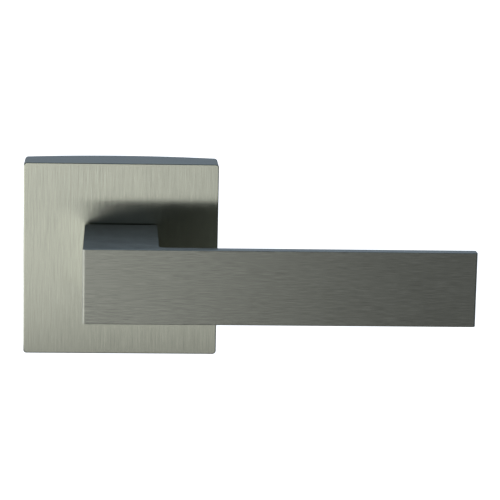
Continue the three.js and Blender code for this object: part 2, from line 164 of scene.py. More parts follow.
def ring_profile(inner, outer, front, back, chamfer):
    """The (radius, depth) profile of a flat ring with chamfered edges."""
    front_face = [(inner + chamfer, front), (outer - chamfer, front), (outer, front + chamfer)]
    back_face = [(outer, back - chamfer), (outer - chamfer, back), (inner + chamfer, back)]
    return front_face + back_face + [(inner, back - chamfer), (inner, front + chamfer)]


def prism(name, outline, front, back):
    """A flat outline of (x, z) points extruded along Y."""
    return skin(name, [[(x, depth, z) for x, z in outline] for depth in (front, back)])


def on_circle(radius, degrees):
    """The X and Z of a point on a circle about the spindle."""
    return (radius * math.cos(math.radians(degrees)), radius * math.sin(math.radians(degrees)))


def sector(inner, outer, start, end, steps=32):
    """The outline of a piece of a ring, from one angle to another in degrees."""
    outside = [on_circle(outer, start + (end - start) * k / steps) for k in range(steps + 1)]
    inside = [on_circle(inner, end + (start - end) * k / steps) for k in range(steps + 1)]
    return outside + inside


def moved(thing, x=0, y=0, z=0):
    """Shifts a piece's mesh."""
    thing.data.transform(Matrix.Translation((x, y, z)))
    return thing


def turned_up(thing):
    """Turns a piece made along Y to stand along Z, with its front end down."""
    thing.data.transform(Matrix.Rotation(math.radians(90), 4, "X"))
    return thing


def spun(thing, degrees):
    """Turns a piece about the Y axis."""
    thing.data.transform(Matrix.Rotation(math.radians(degrees), 4, "Y"))
    return thing


def middle_of(name):
    """Where the middle of a CAD node is in X and Z."""
    low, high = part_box(name)
    return {"x": (low.x + high.x) / 2, "z": (low.z + high.z) / 2}


def drill_from_below(screw_node, room, reach, bottom):
    """The tool for a grub screw's hole, with room round it, through the face at the bottom."""
    low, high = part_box(screw_node)
    drill = turned_up(rod(high.x + room, -reach, reach, 48))
    return moved(drill, y=(low.y + high.y) / 2, z=bottom)


def cut_holes(plate, names, radius, front, back, segments):
    """Cuts a round hole wherever a named piece goes through a plate."""
    for name in names:
        combine(plate, "DIFFERENCE", moved(rod(radius, front, back, segments), **middle_of(name)))


def softened(thing, width):
    """Rounds every crease by the same small width."""
    modifier = thing.modifiers.new("edges", "BEVEL")
    modifier.width = width
    modifier.segments = 2
    modifier.limit_method = "ANGLE"
    modifier.angle_limit = BEVEL_ANGLE
    apply_modifiers(thing)
    return smooth(thing)


def merged(thing):
    """Joins points that coincide and drops the faces that this leaves without area."""
    shape = bmesh.new()
    shape.from_mesh(thing.data)
    bmesh.ops.remove_doubles(shape, verts=shape.verts, dist=1e-7)
    bmesh.ops.dissolve_degenerate(shape, edges=shape.edges, dist=1e-7)
    bmesh.ops.recalc_face_normals(shape, faces=shape.faces)
    shape.to_mesh(thing.data)
    shape.free()
    return thing


# ---- the rose cover

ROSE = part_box("rose_cover")
ROSE_FRONT = ROSE[0].y
ROSE_HALF = 32.5 * MM
ROSE_EDGE = 0.35 * MM
ROSE_CORNER = 1.1 * MM
ROSE_BOW = ROSE[1].x - ROSE_HALF
ROSE_SHEET = 1.5 * MM
ROSE_HOLE = 11.2 * MM
HOLE_EDGE = 0.25 * MM


def square_outline(half, radius, side_steps=24):
    """A rounded square in X and Z as (point, outward direction) pairs."""
    made = []
    reach = half - radius
    for quarter in range(4):
        turn = Matrix.Rotation(math.radians(90 * quarter), 2)
        heights = [-reach + 2 * reach * k / side_steps for k in range(side_steps)]
        side = [(Vector((half, height)), Vector((1, 0))) for height in heights]
        corner = arc((reach, reach), radius, 0, 90, steps=8)[:-1]
        made += [(turn @ point, turn @ ray) for point, ray in side + corner]
    return made


def rounded_square(half, radius):
    """A square outline with rounded corners and straight sides."""
    return [tuple(point) for point, _ in square_outline(half, radius, side_steps=1)]


def bowed(point, ray, depth):
    """Where the drawn side stands at a depth: outwards at the middle of the side, most at the open edge."""
    along = abs(point.x * ray.y - point.y * ray.x)
    crown = 1 - min(1, along / (ROSE_HALF - ROSE_CORNER)) ** 2
    rise = min(1, max(0, 1 - depth / (ROSE_FRONT + ROSE_EDGE)))
    straight = max(abs(ray.x), abs(ray.y)) > 0.999
    return point + ray * (ROSE_BOW * crown * rise if straight else 0)


def wall_ring(half, depth, inset=0):
    """The bowed square at a depth, drawn in by an inset."""
    ring = []
    for point, ray in square_outline(half, ROSE_CORNER):
        place = bowed(point, ray, depth) - ray * inset
        ring.append((place.x, depth, place.y))
    return ring


def hole_ring(radius, depth):
    """A circle with as many points as a wall ring, each in the same direction."""
    ring = []
    for point, _ in square_outline(ROSE_HALF, ROSE_CORNER):
        place = point.normalized() * radius
        ring.append((place.x, depth, place.y))
    return ring


def make_rose_cover():
    """A drawn cup with an even wall, rounded edges, a hole for the lever and one for its own screw."""
    inner_half, inner_front = ROSE_HALF - ROSE_SHEET, ROSE_FRONT + ROSE_SHEET
    rim, fillet = 0.2 * MM, 0.3 * MM
    rings = [wall_ring(ROSE_HALF, 0, rim), wall_ring(ROSE_HALF, -rim)]
    rings += [wall_ring(ROSE_HALF, ROSE_FRONT * share) for share in (0.35, 0.7)]
    steps = 8
    edge, mouth = [], []
    for k in range(steps + 1):
        a = math.radians(90 * k / steps)
        depth = ROSE_FRONT + ROSE_EDGE * (1 - math.sin(a))
        edge.append(wall_ring(ROSE_HALF, depth, ROSE_EDGE * (1 - math.cos(a))))
        radius = ROSE_HOLE + HOLE_EDGE * (1 - math.sin(a))
        mouth.append(hole_ring(radius, ROSE_FRONT + HOLE_EDGE * (1 - math.cos(a))))
    rings += edge + mouth
    rings.append(hole_ring(ROSE_HOLE, inner_front))
    rings.append(wall_ring(inner_half, inner_front, fillet))
    rings.append(wall_ring(inner_half, inner_front + fillet))
    rings.append(wall_ring(inner_half, -rim))
    rings.append(wall_ring(inner_half, 0, -rim))
    cover = skin("rose_shell", rings, closed=True)
    drill = drill_from_below("rose_set_screw", 0.3 * MM, 4 * MM, -ROSE_HALF)
    return smooth(combine(cover, "DIFFERENCE", drill))


# ---- the lever

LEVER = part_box("lever")
LEVER_HALF = LEVER[1].z
LEVER_FRONT = LEVER[0].y
LEVER_TIP = LEVER[1].x
GRIP_BACK = LEVER_FRONT + 4.2 * MM
NECK_BACK = ROSE_FRONT - 1.6 * MM
LEVER_EDGE = 0.3 * MM
LEVER_CORNER = 0.9 * MM
NECK_FILLET = 2 * MM


def lever_outline():
    """The L in X and Y as (point, outward direction) pairs, counter-clockwise seen from above."""
    r, steps = LEVER_CORNER, 10
    left, tip, neck = LEVER[0].x, LEVER_TIP, -LEVER[0].x
    made = arc((left + r, LEVER_FRONT + r), r, 180, 270, steps)
    made += arc((tip - r, LEVER_FRONT + r), r, 270, 360, steps)
    made += arc((tip - r, GRIP_BACK - r), r, 0, 90, steps)
    fillet = arc((neck + NECK_FILLET, GRIP_BACK + NECK_FILLET), NECK_FILLET, 270, 180, steps)
    made += [(point, -ray) for point, ray in fillet]
    made += arc((neck - r, NECK_BACK - r), r, 0, 90, steps)
    made += arc((left + r, NECK_BACK - r), r, 90, 180, steps)
    return made


def make_lever():
    """Neck, grip and shank in one casting, with a square socket and a hole for its grub screw."""
    outline = lever_outline()
    steps = 8
    rings = []
    for k in range(2 * steps + 2):
        a = math.radians(90 * (k if k <= steps else k - 1) / steps - 90)
        side = -1 if k <= steps else 1
        height = side * (LEVER_HALF - LEVER_EDGE) + LEVER_EDGE * math.sin(a)
        inset = LEVER_EDGE * (1 - math.cos(a))
        rings.append([(p.x - n.x * inset, p.y - n.y * inset, height) for p, n in outline])
    casting = skin("lever_casting", rings)
    low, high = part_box("spindle")
    room = 0.15 * MM
    socket = box((low.x - room, high.x + room), (low.y - MM, 10 * MM), (low.z - room, high.z + room))
    drill = drill_from_below("lever_set_screw", 0.2 * MM, 8 * MM, -LEVER_HALF)
    combine(casting, "UNION", lever_shank())
    combine(casting, "DIFFERENCE", socket, drill)
    return smooth(casting)


def lever_shank():
    """Round in the bush, flat on two sides behind it, with the groove for the retaining ring."""
    cam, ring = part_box("driver_cam"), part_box("retaining_ring")
    shoulder = cam[0].y - 0.3 * MM
    end = LEVER[1].y
    groove_front, groove_back = ring[0].y - 0.15 * MM, ring[1].y + 0.15 * MM
    in_bush, in_cam, in_groove, at_end = 8.5 * MM, 7.5 * MM, 6.8 * MM, 7.1 * MM  # its radii
    flat, reach = 6.5 * MM, 20 * MM
    front = rod(in_bush, NECK_BACK - MM, shoulder)
    outline = [(in_cam, shoulder - 0.5 * MM), (in_cam, groove_front), (in_groove, groove_front)]
    outline += [(in_groove, groove_back), (in_cam, groove_back), (in_cam, end - 0.4 * MM), (at_end, end)]
    rear = turned("rear", outline)
    combine(rear, "INTERSECT", box((-flat, flat), (-reach, reach), (-reach, reach)))
    return combine(front, "UNION", rear)


# ---- threads and screws

# One turn of thread as (share of the pitch, share of the height) points.
THREAD_FORM = [(0.0, 0.0), (0.1, 0.0), (0.45, 1.0), (0.6, 1.0), (0.95, 0.0)]


def radius_at(outline, depth):
    """The radius of a turned outline at a depth."""
    for (r0, d0), (r1, d1) in zip(outline, outline[1:]):
        if d0 <= depth <= d1:
            return r0 + (r1 - r0) * (depth - d0) / max(d1 - d0, 1e-9)
    return outline[-1][0]


def screw(name, outline, thread_from, thread_to, pitch, depth):
    """A turned body with a helical thread cut into it between two depths. The outline gives its crests."""
    segments = 40
    angles = [2 * math.pi * i / segments for i in range(segments)]
    turns = math.ceil((thread_to - thread_from) / pitch)
    rings, following = [], []  # following is the ring that each one meets after a full turn

    def plain(points):
        for radius, at in points:
            following.append(len(rings))
            rings.append([(radius * math.cos(a), at, radius * math.sin(a)) for a in angles])

    plain([(r, d) for r, d in outline if d <= thread_from])
    last = len(rings) + (turns + 2) * len(THREAD_FORM) - 1
    for turn in range(-1, turns + 1):
        for share, height in THREAD_FORM:
            ring = []
            for i, a in enumerate(angles):
                at = thread_from + pitch * (turn + share + i / segments)
                at = min(max(at, thread_from), thread_to)
                fade = min(1, (at - thread_from) / pitch, (thread_to - at) / pitch)
                crest = radius_at(outline, at)
                radius = crest - min(depth, 0.6 * crest) * (1 - height) * fade
                ring.append((radius * math.cos(a), at, radius * math.sin(a)))
            following.append(min(len(rings) + len(THREAD_FORM), last))
            rings.append(ring)
    plain([(r, d) for r, d in outline if d >= thread_to])

    faces = [tuple(range(segments)), tuple(range(len(rings) * segments - segments, len(rings) * segments))]
    for k in range(len(rings) - 1):
        for i in range(segments):
            ahead = k + 1
            if i < segments - 1:
                beside, beyond = k * segments + i + 1, ahead * segments + i + 1
            else:
                beside, beyond = following[k] * segments, following[ahead] * segments
            faces.append((k * segments + i, beside, beyond, ahead * segments + i))
    return merged(mesh_object(name, [p for ring in rings for p in ring], faces))


def cross_recess(face, bottom, reach, width):
    """The tool for a cross-shaped driver recess, which narrows from the screw's face to its bottom."""
    mouth = 2 * face - bottom
    rings = []
    for depth, scale in ((mouth, 1.6), (face, 1), (bottom, 0.35)):
        r, w = reach * scale, width / 2 * (0.7 + 0.3 * scale)
        corner = [(r, -w), (r, w), (w, w)]
        ring = []
        for quarter in range(4):
            c, s = math.cos(math.pi / 2 * quarter), math.sin(math.pi / 2 * quarter)
            ring += [(x * c - z * s, depth, x * s + z * c) for x, z in corner]
        rings.append(ring)
    return skin("recess", rings)


def dome(radius, foot, rise, steps):
    """The outline of a domed head from its foot, which stops one step short of the axis."""
    turns = [math.radians(90 * k / steps) for k in range(1, steps)]
    return [(radius * math.cos(a), foot + rise * math.sin(a)) for a in turns]


def machine_screw(name):
    """A domed head with a cross recess, on a shank that is threaded except for 6 mm under the head."""
    low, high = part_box(name)
    seat = high.y - 2.3 * MM
    shank, head, tip = 2 * MM, 4 * MM, 0.5 * MM
    outline = [(shank - tip, low.y), (shank, low.y + tip), (shank, seat), (head - 0.2 * MM, seat)]
    outline += [(head, seat + 0.2 * MM), (head, seat + 0.5 * MM)]
    outline += dome(head, seat + 0.5 * MM, rise=1.8 * MM, steps=9)
    thing = screw(name + "_threaded", outline, low.y + tip, seat - 6 * MM, pitch=0.7 * MM, depth=0.4 * MM)
    recess = cross_recess(high.y, seat + 0.9 * MM, reach=1.9 * MM, width=0.8 * MM)
    return moved(smooth(combine(thing, "DIFFERENCE", recess)), **middle_of(name))


def wood_screw(name):
    """A countersunk head with a cross recess, and a coarse thread that runs to a point."""
    low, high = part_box(name)
    shank, head, front = 1.85 * MM, high.x - middle_of(name)["x"], low.y
    outline = [(head - 0.12 * MM, front), (head, front + 0.12 * MM), (head, front + 0.3 * MM)]
    outline += [(shank, front + 2.1 * MM), (shank, high.y - 5 * MM), (0.2 * MM, high.y)]
    thread = (front + 6 * MM, high.y - 0.2 * MM)
    thing = screw(name + "_threaded", outline, *thread, pitch=1.6 * MM, depth=0.55 * MM)
    recess = cross_recess(front, front + 1.4 * MM, reach=1.9 * MM, width=0.8 * MM)
    return moved(smooth(combine(thing, "DIFFERENCE", recess)), **middle_of(name))


def cover_plate_screw(name):
    """A small domed screw that is threaded up to its head."""
    low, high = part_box(name)
    seat = high.y - 1.5 * MM
    shank, head, tip = 1.5 * MM, 2.7 * MM, 0.3 * MM
    outline = [(shank - tip, low.y), (shank, low.y + tip), (shank, seat), (head, seat)]
    outline += dome(head, seat + 0.3 * MM, rise=1.2 * MM, steps=8)
    thing = screw(name + "_threaded", outline, low.y + tip, seat - tip, pitch=0.5 * MM, depth=0.28 * MM)
    recess = cross_recess(high.y, seat + 0.6 * MM, reach=1.25 * MM, width=0.55 * MM)
    return moved(smooth(combine(thing, "DIFFERENCE", recess)), **middle_of(name))


def grub_screw(name, pitch, socket):
    """A headless screw along Z with a hexagon socket below and a cup point above."""
    low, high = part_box(name)
    radius, length = (high.x - low.x) / 2, high.z - low.z
    tip = 0.3 * MM
    outline = [(radius - tip, 0), (radius, tip), (radius, length - radius / 3)]
    outline += [(radius * 0.6, length), (radius * 0.3, length - radius / 6)]
    thing = screw(name + "_threaded", outline, tip, length - radius / 3, pitch, depth=0.58 * pitch)
    bore = turned("socket", [(socket, -MM), (socket, length * 0.45), (0.1 * MM, length * 0.6)], 6)
    mouth = turned("mouth", [(socket * 1.35, -0.2 * MM), (socket * 0.8, 0.25 * MM)], 48)
    combine(thing, "DIFFERENCE", bore, mouth)
    return moved(turned_up(smooth(thing)), y=(low.y + high.y) / 2, z=low.z)


def through_post(name):
    """A threaded stud in front, a hexagonal collar and a sleeve whose bore takes the machine screw."""
    low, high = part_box(name)
    stud, sleeve, bore, tip = 3 * MM, 3.5 * MM, 2.2 * MM, 0.5 * MM
    outline = [(stud - tip, low.y), (stud, low.y + tip), (stud, 0.9 * MM), (sleeve, MM)]
    outline += [(sleeve, high.y - tip), (sleeve - tip, high.y)]
    thing = screw(name + "_threaded", outline, low.y + tip, -0.4 * MM, pitch=MM, depth=0.4 * MM)
    corner, front, back = 5.2 * MM, 0.75 * MM, 3.75 * MM
    collar = turned("collar", [(corner, front), (corner, back)], 6)
    rounding = [(4.5 * MM, front), (corner, 1.15 * MM), (corner, 3.35 * MM), (4.5 * MM, back)]
    combine(collar, "INTERSECT", turned("rounding", rounding))
    tap = [(bore, 12 * MM), (bore, high.y - tip), (bore + 0.9 * MM, high.y + 0.4 * MM)]
    combine(combine(thing, "UNION", collar), "DIFFERENCE", turned("tap", tap, 48))
    return moved(smooth(thing), x=middle_of(name)["x"])


# ---- washers, rings and springs

SHANK_WASHER_BORE = 7.75 * MM
POST_WASHER_BORE = 3.2 * MM


def washer(name, bore, chamfer):
    """A flat washer."""
    low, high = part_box(name)
    profile = ring_profile(bore, (high.x - low.x) / 2, low.y, high.y, chamfer)
    return moved(smooth(revolved(name + "_pressed", profile)), x=middle_of(name)["x"])


def wave_washer():
    """A thin washer that rises and falls three times round."""
    low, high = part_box("wave_washer")
    middle, half, height = (low.y + high.y) / 2, 0.15 * MM, 0.28 * MM
    profile = ring_profile(SHANK_WASHER_BORE, high.x, middle - half, middle + half, 0.06 * MM)
    return smooth(revolved("wave_washer_pressed", profile, 144, wave=lambda a: height * math.cos(3 * a)))


def retaining_ring():
    """An open ring with an eye for the pliers at each end. Angles are in degrees."""
    low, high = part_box("retaining_ring")
    inner, outer, opening = 6.95 * MM, 9.4 * MM, 14
    front, back = low.y, high.y
    band = prism("retaining_ring_stamped", sector(inner, outer, 90 + opening, 450 - opening, 96), front, back)
    for side in (-1, 1):
        x, z = on_circle(outer - 0.2 * MM, 90 + side * (opening + 7))
        combine(band, "UNION", moved(rod(1.9 * MM, front, back, 48), x=x, z=z))
        combine(band, "DIFFERENCE", moved(rod(0.8 * MM, front - MM, back + MM, 32), x=x, z=z))
    combine(band, "DIFFERENCE", rod(inner, front - MM, back + MM))
    return softened(band, 0.08 * MM)


SPRING_RADIUS = 12.4 * MM
COIL_RADIUS = 1.75 * MM
WIRE_RADIUS = 0.45 * MM
SPRING_TURNS = 7.5
END_COIL_CLOSING = 0.55  # 0 spaces the coils evenly, and 1 would lay the end coils together
SPRING_FOOT, SPRING_HEAD = -6, 78  # the right spring's ends, in degrees above level


def spring_share(t):
    """How far along its arc a spring has come: slowly in the closed end coils and evenly between them."""
    return t - END_COIL_CLOSING / (2 * math.pi) * math.sin(2 * math.pi * t)


def return_spring(name, start, end):
    """A spring whose axis is an arc about the spindle, from one angle to another in degrees."""
    low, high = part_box(name)
    middle = (low.y + high.y) / 2
    steps, around, nearby = 420, 12, 1e-4

    def centre(t):
        turn = 2 * math.pi * SPRING_TURNS * t
        radius = SPRING_RADIUS + COIL_RADIUS * math.cos(turn)
        x, z = on_circle(radius, start + (end - start) * spring_share(t))
        return Vector((x, middle + COIL_RADIUS * math.sin(turn), z))

    rings = []
    for k in range(steps + 1):
        t = k / steps
        here = centre(t)
        ahead = (centre(t + nearby) - centre(t - nearby)).normalized()
        x, z = on_circle(SPRING_RADIUS, start + (end - start) * spring_share(t))
        outward = here - Vector((x, middle, z))
        outward = (outward - ahead * outward.dot(ahead)).normalized()
        beside = ahead.cross(outward)
        angles = [2 * math.pi * i / around for i in range(around)]
        rings.append([here + (outward * math.cos(a) + beside * math.sin(a)) * WIRE_RADIUS for a in angles])
    return smooth(skin(name + "_coiled", rings))


# ---- what turns with the lever, and the castings


def spindle():
    """A square bar with rounded edges and chamfered ends."""
    low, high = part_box("spindle")
    chamfer, edge = 0.8 * MM, 0.9 * MM
    stack = [(low.y, chamfer), (low.y + chamfer, 0), (high.y - chamfer, 0), (high.y, chamfer)]
    rings = [[(x, at, z) for x, z in rounded_square(high.x - inset, edge)] for at, inset in stack]
    return smooth(skin("spindle_drawn", rings))


def driver_cam():
    """A hub with the lobe that presses the springs above and the stop lobe below."""
    low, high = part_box("driver_cam")
    front, back = low.y, high.y
    hub, lobe_foot, reach, flat = 9.7 * MM, 8.5 * MM, 14.5 * MM, 6.65 * MM
    cam = rod(hub, front, back)
    for middle, half in ((90, 9), (270, 10)):  # degrees
        lobe = prism("lobe", sector(lobe_foot, reach, middle - half, middle + half, 12), front, back)
        combine(cam, "UNION", lobe)
    bore = rod(7.65 * MM, front - MM, back + MM)
    flats = box((-flat, flat), (front - 2 * MM, back + 2 * MM), (-reach, reach))
    combine(bore, "INTERSECT", flats)
    return softened(combine(cam, "DIFFERENCE", bore), 0.25 * MM)


def bearing_bush():
    """A flanged bush with small chamfers."""
    low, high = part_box("bearing_bush")
    bore, body, flange, cut = 8.65 * MM, 9.9 * MM, high.x, 0.2 * MM
    front, back, shoulder = low.y, high.y, low.y + 1.55 * MM
    profile = [(bore + cut, front), (flange - cut, front), (flange, front + cut), (flange, shoulder - cut)]
    profile += [(flange - cut, shoulder), (body, shoulder), (body, back - 2 * cut), (body - cut, back)]
    profile += [(bore + cut, back), (bore, back - cut), (bore, front + cut)]
    return smooth(revolved("bearing_bush_moulded", profile))


def bore_ring():
    """A plastic ring with a snap bead and four slots, so that it gives as it goes into the door."""
    low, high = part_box("bore_ring")
    inner, outer, reach = 24.9 * MM, 26.7 * MM, 30 * MM
    profile = ring_profile(inner, outer, low.y, high.y, 0.3 * MM)
    profile[3:4] = [(outer, high.y - 1.6 * MM), (outer - 0.35 * MM, high.y - 1.2 * MM)]
    profile[5] = (outer - 0.6 * MM, high.y)
    thing = revolved("bore_ring_moulded", profile, 128)
    for turn in (45, -45):
        slot = box((-1.5 * MM, 1.5 * MM), (1.5 * MM, high.y + MM), (-reach, reach))
        combine(thing, "DIFFERENCE", spun(slot, turn))
    return softened(thing, 0.12 * MM)


COVER_SCREWS = [f"cover_plate_screw_{k}" for k in (1, 2, 3, 4)]
THROUGH_POSTS = ["through_post_left", "through_post_right"]
WOOD_SCREWS = ["wood_screw_upper", "wood_screw_lower"]
POST_HOLE = 3.15 * MM
PAN_FRONT = ROSE_FRONT + 1.9 * MM
PAN_FLOOR = PAN_FRONT + 2.4 * MM
RIB_ROOT = PAN_FLOOR - 0.2 * MM  # ribs and bosses start a little inside the pan


def spring_cover_plate():
    """A stamped disc with a round-ended window over each spring. Angles are in degrees."""
    low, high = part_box("spring_cover_plate")
    front, back = low.y - MM, high.y + MM
    bore, inner, middle, outer, end_radius = 7.65 * MM, 11.1 * MM, 12.5 * MM, 13.9 * MM, 1.4 * MM
    plate = revolved("spring_cover_stamped", ring_profile(bore, high.x, low.y, high.y, 0.12 * MM), 128)
    cut_holes(plate, THROUGH_POSTS, POST_HOLE, front, back, 48)
    cut_holes(plate, COVER_SCREWS, 1.7 * MM, front, back, 32)
    for start, end in ((24, 68), (112, 156)):
        window = prism("window", sector(inner, outer, start, end), front, back)
        for at in (start + 0.5, end - 0.5):
            x, z = on_circle(middle, at)
            combine(window, "UNION", moved(rod(end_radius, front, back, 32), x=x, z=z))
        combine(plate, "DIFFERENCE", window)
    return softened(plate, 0.1 * MM)


def add_ribs_and_bosses(plate, half, collar_front):
    """What stands on the pan: ribs, screw bosses, the set screw's block, the drum and the collar."""
    reach, diagonal = half - 1.1 * MM, 33.3 * MM
    for turn, length in ((0, reach), (90, reach), (45, diagonal), (-45, diagonal)):
        rib = box((-length, length), (RIB_ROOT, -MM), (-MM, MM))
        combine(plate, "UNION", spun(rib, turn))
    offset = abs(middle_of(WOOD_SCREWS[0])["x"])
    for x in (-offset, offset):
        for z in (-offset, offset):
            combine(plate, "UNION", moved(rod(4.4 * MM, RIB_ROOT, 0, 48), x=x, z=z))
    screw_block = box((-4 * MM, 4 * MM), (RIB_ROOT, -2.6 * MM), (-reach, -24 * MM))
    drum = rod(24.6 * MM, RIB_ROOT, 0, 128)
    collar = rod(10.9 * MM, collar_front, PAN_FRONT + MM)
    combine(plate, "UNION", screw_block, drum, collar)


def spring_pocket():
    """The tool for the pocket of the cam and springs, with two lands left for the springs' feet."""
    pocket = rod(14.8 * MM, -8.4 * MM, -1.5 * MM)
    for start, end in ((-34, -8.5), (188.5, 214)):  # degrees
        land = prism("land", sector(10 * MM, 16 * MM, start, end, 16), -9 * MM, 0)
        combine(pocket, "DIFFERENCE", land)
    return pocket


def mounting_plate():
    """The zinc casting: a pan with ribs, bosses, a drum for the spring pocket and a collar for the bush."""
    low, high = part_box("mounting_plate")
    half, front, wall = high.x, low.y, 2.2 * MM
    plate = prism("mounting_plate_cast", rounded_square(half, 2 * MM), PAN_FRONT, 0)
    inside = prism("inside", rounded_square(half - wall, MM), PAN_FLOOR, MM)
    combine(plate, "DIFFERENCE", inside)
    add_ribs_and_bosses(plate, half, front)
    cover_seat, bush_bore = rod(23.5 * MM, -1.6 * MM, MM, 128), rod(10.05 * MM, front - MM, -8 * MM)
    combine(plate, "DIFFERENCE", spring_pocket(), cover_seat, bush_bore)
    bore_ring_seat = ring_profile(24.6 * MM, 27.1 * MM, -4 * MM, MM, 0.01 * MM)
    combine(plate, "DIFFERENCE", revolved("bore_ring_seat", bore_ring_seat, 128))
    cut_holes(plate, THROUGH_POSTS, POST_HOLE, -9 * MM, MM, 48)
    cut_holes(plate, COVER_SCREWS, 1.65 * MM, -8 * MM, MM, 32)
    head, shank = 4.05 * MM, 2.15 * MM
    sink = [(head, PAN_FRONT - MM), (head, PAN_FRONT), (shank, -9.2 * MM), (shank, MM)]
    for name in WOOD_SCREWS:
        combine(plate, "DIFFERENCE", moved(turned("sink", sink, 48), **middle_of(name)))
    screw_hole = turned_up(rod(2.2 * MM, -(half + MM), -25.6 * MM, 32))
    combine(plate, "DIFFERENCE", moved(screw_hole, y=ROSE_FRONT / 2))
    for x in (-14 * MM, 14 * MM):
        for z in (-27 * MM, 27 * MM):
            ejector_mark = rod(1.6 * MM, RIB_ROOT, RIB_ROOT + 0.5 * MM, 24)
            combine(plate, "UNION", moved(ejector_mark, x=x, z=z))
    return softened(plate, 0.2 * MM)


# ---- brushing


def lay_brushing(thing, lines):
    """A UV map in metres whose V runs along the brush lines. lines gives their axis for X, Y and Z faces."""
    layer = thing.data.uv_layers.new(name="brushing")
    for face in thing.data.polygons:
        normal = max(range(3), key=lambda axis: abs(face.normal[axis]))
        along = lines[normal]
        across = 3 - normal - along
        for loop in face.loop_indices:
            place = thing.data.vertices[thing.data.loops[loop].vertex_index].co
            layer.data[loop].uv = (place[across], place[along])


# ---- materials

MIX_FACTOR, MIX_FIRST, MIX_SECOND, MIX_RESULT = 0, 6, 7, 2  # the Mix node's sockets for colours


class Surface:
    """A node material: a Principled shader, and the few nodes that feed it."""

    def __init__(self, name, **values):
        self.material = bpy.data.materials.new(name)
        self.material.use_nodes = True
        self.nodes = self.material.node_tree.nodes
        self.links = self.material.node_tree.links
        self.shader = self.nodes["Principled BSDF"]
        for key, value in values.items():
            self.shader.inputs[key].default_value = value

    def add(self, kind, inputs=None, **settings):
        """A node with its settings and inputs. An input is a value or another node's output."""
        node = self.nodes.new(kind)
        for key, value in settings.items():
            setattr(node, key, value)
        for key, value in (inputs or {}).items():
            self.feed(node.inputs[key], value)
        return node

    def feed(self, socket, value):
        if isinstance(value, bpy.types.NodeSocket):
            self.links.new(value, socket)
        else:
            socket.default_value = value

    def mapped(self, coordinates, scale):
        return self.add("ShaderNodeMapping", {"Vector": coordinates, "Scale": scale}).outputs["Vector"]

    def noise(self, coordinates, scale, detail=3, roughness=0.5):
        inputs = {"Vector": coordinates, "Scale": scale, "Detail": detail, "Roughness": roughness}
        return self.add("ShaderNodeTexNoise", inputs).outputs["Fac"]

    def spread(self, value, low, high, start=0.3, end=0.7):
        """Maps a noise's middle range to a range of its own."""
        inputs = {"Value": value, "From Min": start, "From Max": end, "To Min": low, "To Max": high}
        return self.add("ShaderNodeMapRange", inputs).outputs["Result"]

    def blend(self, factor, first, second):
        """A mix of two colours."""
        node = self.add("ShaderNodeMix", data_type="RGBA")
        self.feed(node.inputs[MIX_FACTOR], factor)
        self.feed(node.inputs[MIX_FIRST], first)
        self.feed(node.inputs[MIX_SECOND], second)
        return node.outputs[MIX_RESULT]

    def math_node(self, operation, first, second):
        return self.add("ShaderNodeMath", {0: first, 1: second}, operation=operation).outputs[0]

    def sum(self, first, second):
        return self.math_node("ADD", first, second)

    def times(self, first, second):
        return self.math_node("MULTIPLY", first, second)

    def bump(self, height, distance):
        return self.add("ShaderNodeBump", {"Height": height, "Distance": distance}).outputs["Normal"]

    def edge_mask(self, radius):
        """1 along edges and 0 on flat faces."""
        rounded = self.add("ShaderNodeBevel", {"Radius": radius}, samples=6).outputs["Normal"]
        normal = self.add("ShaderNodeNewGeometry").outputs["Normal"]
        agreement = self.add("ShaderNodeVectorMath", {0: rounded, 1: normal}, operation="DOT_PRODUCT")
        return self.spread(agreement.outputs["Value"], 1, 0, 0.9, 0.99)


# The rose and the lever are the same satin nickel. Both are darkened below bare nickel, the rose's copy more
# so, as painted shade that deepens the dark reflection between rose and lever.
ROSE_NICKEL_PAINTED_SHADE = (0.35, 0.36, 0.3)
LEVER_NICKEL = (0.39, 0.4, 0.345)
NICKEL_ROUGHNESS = 0.2


def scaled(colour, factor):
    """A colour made darker or brighter, with its alpha."""
    return [c * factor for c in colour] + [1]


def brushed_nickel(name, colour, line, length, contrast, relief):
    """Satin nickel under fine brush lines, whose direction comes from the UV map, with a painted highlight
    along its edges.
    """
    made = Surface(name, Metallic=1.0, Anisotropic=1.0)
    uv = made.add("ShaderNodeUVMap", uv_map="brushing").outputs["UV"]
    tangent = made.add("ShaderNodeTangent", direction_type="UV_MAP", uv_map="brushing")
    fine = made.noise(made.mapped(uv, (1 / line, 1 / length, 1)), 1.0, 2)
    coarse = made.noise(made.mapped(uv, (0.3 / line, 0.5 / length, 1)), 1.0, 2)
    scratch = made.noise(made.mapped(uv, (0.5 / line, 1.5 / length, 1)), 1.0, 1)
    cloud = made.noise(made.mapped(uv, (90, 45, 1)), 1.0, 3)
    lines = made.sum(made.times(fine, 0.65), made.times(coarse, 0.35))
    mixed = made.sum(made.times(lines, 0.82), made.times(cloud, 0.18))
    dark, bright = scaled(colour, 1 - contrast), scaled(colour, 1 + contrast)
    shade = made.blend(made.spread(mixed, 0, 1, 0.35, 0.65), dark, bright)
    shade = made.blend(made.spread(scratch, 0, 0.6, 0.68, 0.8), shade, dark)
    # Painted highlight: the nickel is made lighter along its edges.
    shade = made.blend(made.times(made.edge_mask(0.4 * MM), 0.7), shade, scaled(colour, 1.3))
    made.feed(made.shader.inputs["Base Color"], shade)
    cloudy = made.spread(cloud, NICKEL_ROUGHNESS - 0.01, NICKEL_ROUGHNESS + 0.01)
    made.feed(made.shader.inputs["Roughness"], made.sum(made.spread(lines, -0.02, 0.03), cloudy))
    made.feed(made.shader.inputs["Normal"], made.bump(lines, relief))
    made.feed(made.shader.inputs["Tangent"], tangent.outputs["Tangent"])
    return made.material


